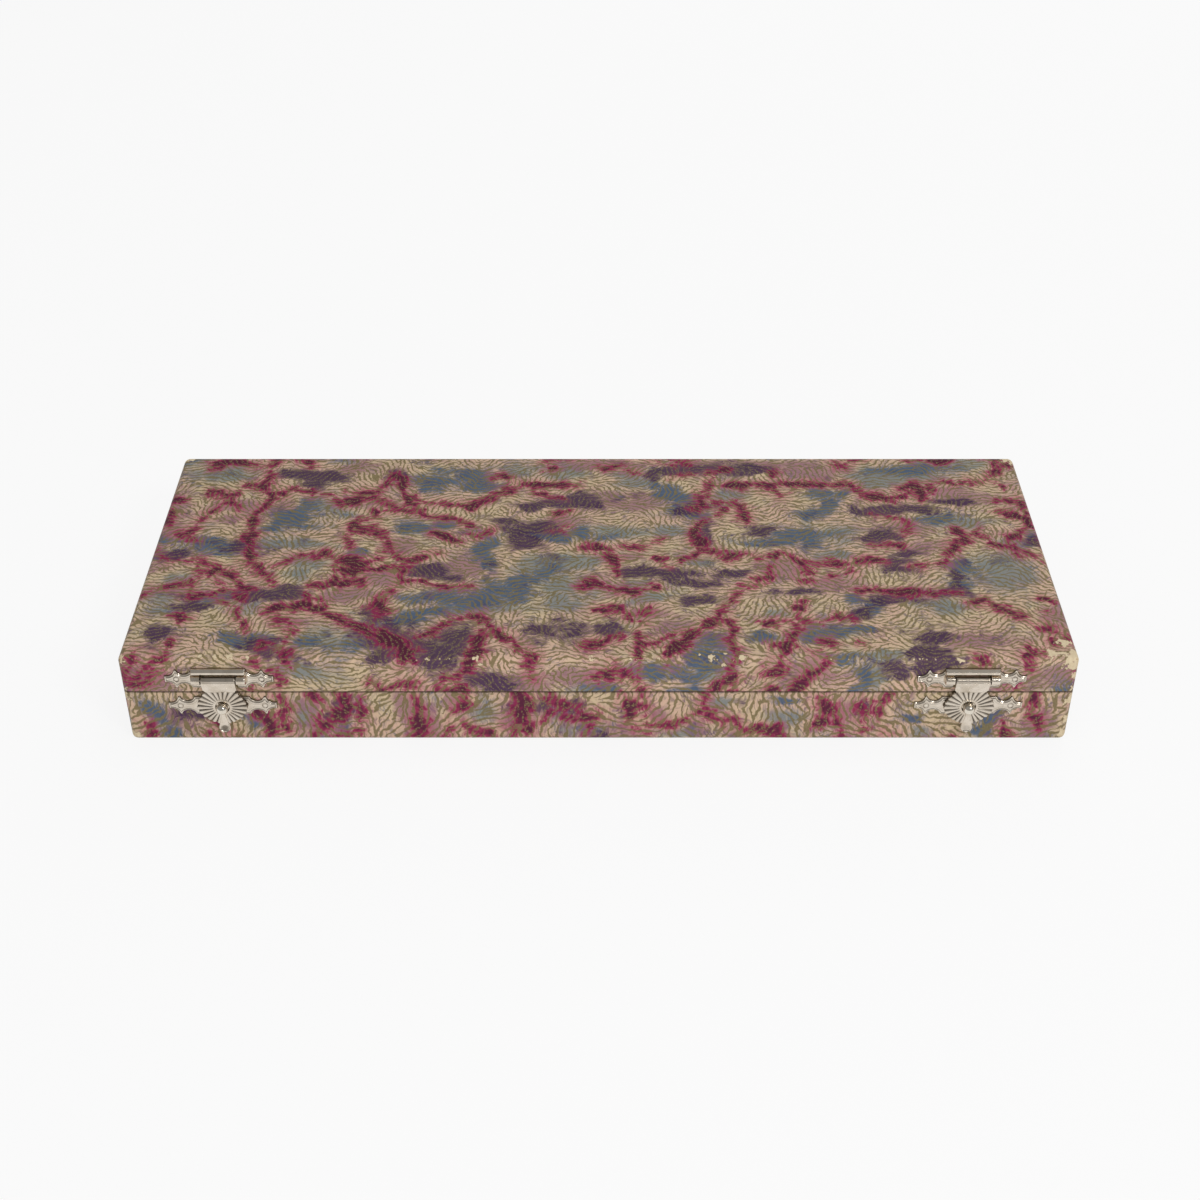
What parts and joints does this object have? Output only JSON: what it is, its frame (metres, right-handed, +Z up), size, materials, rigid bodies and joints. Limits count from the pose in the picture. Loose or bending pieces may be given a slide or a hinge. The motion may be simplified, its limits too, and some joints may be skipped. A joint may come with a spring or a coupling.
{
  "type": "silverware chest",
  "caption": "Low rectangular chest for teaspoons with a hinged lid, marbled paper covering, stamped front latches with swinging hasps, and a lined interior with notched racks.",
  "frame": {"origin": "middle of the rectangular underside, on the surface the chest stands on", "axes": "+X towards the chest's right seen from the front, along its longest side; +Y towards the back, where the hinges are, so the latches face -Y; +Z up"},
  "size_m": [0.4, 0.1635, 0.044],
  "materials": {
    "marbled_paper": "satin marbled covering paper, worn at the corners",
    "underside_paper": "plain matt lining paper",
    "plum_velvet": "short-pile velvet",
    "ivory_satin": "satin over wadding",
    "ivory_lining": "card strip covered in satin",
    "case_wood": "plain unpolished softwood",
    "hinge_steel": "nickel plated, dulled",
    "nickel_solid": "nickel plated, bright",
    "nickel_sheet": "nickel plated stamped sheet, bright, lightly tarnished"
  },
  "bodies": {
    "base": {"base_bottom_board": "case_wood", "base_front_wall": "case_wood", "base_back_wall": "case_wood", "base_left_wall": "case_wood", "base_right_wall": "case_wood", "base_cover_paper": "marbled_paper", "base_underside_sheet": "underside_paper", "collar_front": "ivory_lining", "collar_back": "ivory_lining", "collar_left": "ivory_lining", "collar_right": "ivory_lining", "floor_pad_front": "plum_velvet", "floor_pad_middle": "plum_velvet", "floor_pad_back": "plum_velvet", "handle_rack": "plum_velvet", "bowl_rack": "plum_velvet", "base_hinge_leaf_left": "hinge_steel", "base_hinge_leaf_right": "hinge_steel", "hinge_pin_left": "hinge_steel", "hinge_pin_right": "hinge_steel", "base_hinge_nails": "hinge_steel", "keeper_plate_left": "nickel_sheet", "keeper_plate_right": "nickel_sheet", "ball_stud_left": "nickel_solid", "ball_stud_right": "nickel_solid", "keeper_nails": "nickel_solid"},
    "lid": {"lid_top_board": "case_wood", "lid_front_wall": "case_wood", "lid_back_wall": "case_wood", "lid_left_wall": "case_wood", "lid_right_wall": "case_wood", "lid_cover_paper": "marbled_paper", "lid_pad": "ivory_satin", "lid_strip_front": "ivory_lining", "lid_strip_back": "ivory_lining", "lid_strip_left": "ivory_lining", "lid_strip_right": "ivory_lining", "lid_hinge_leaf_left": "hinge_steel", "lid_hinge_leaf_right": "hinge_steel", "lid_hinge_nails": "hinge_steel", "lid_latch_plate_left": "nickel_sheet", "lid_latch_plate_right": "nickel_sheet", "hasp_pin_left": "nickel_solid", "hasp_pin_right": "nickel_solid", "lid_latch_nails": "nickel_solid"},
    "hasp_left": {"hasp_left": "nickel_sheet"},
    "hasp_right": {"hasp_right": "nickel_sheet"}
  },
  "joints": [
    {"name": "lid_hinge", "type": "hinge", "parent": "base", "child": "lid", "pos_m": [0, 0.0768, 0.02635], "axis": [-1, 0, 0], "range_deg": [0, 100]},
    {"name": "hasp_left_swing", "type": "hinge", "parent": "lid", "child": "hasp_left", "pos_m": [-0.1585, -0.0812, 0.0343], "axis": [-1, 0, 0], "range_deg": [0, 140]},
    {"name": "hasp_right_swing", "type": "hinge", "parent": "lid", "child": "hasp_right", "pos_m": [0.156, -0.0812, 0.0343], "axis": [-1, 0, 0], "range_deg": [0, 140]}
  ]
}
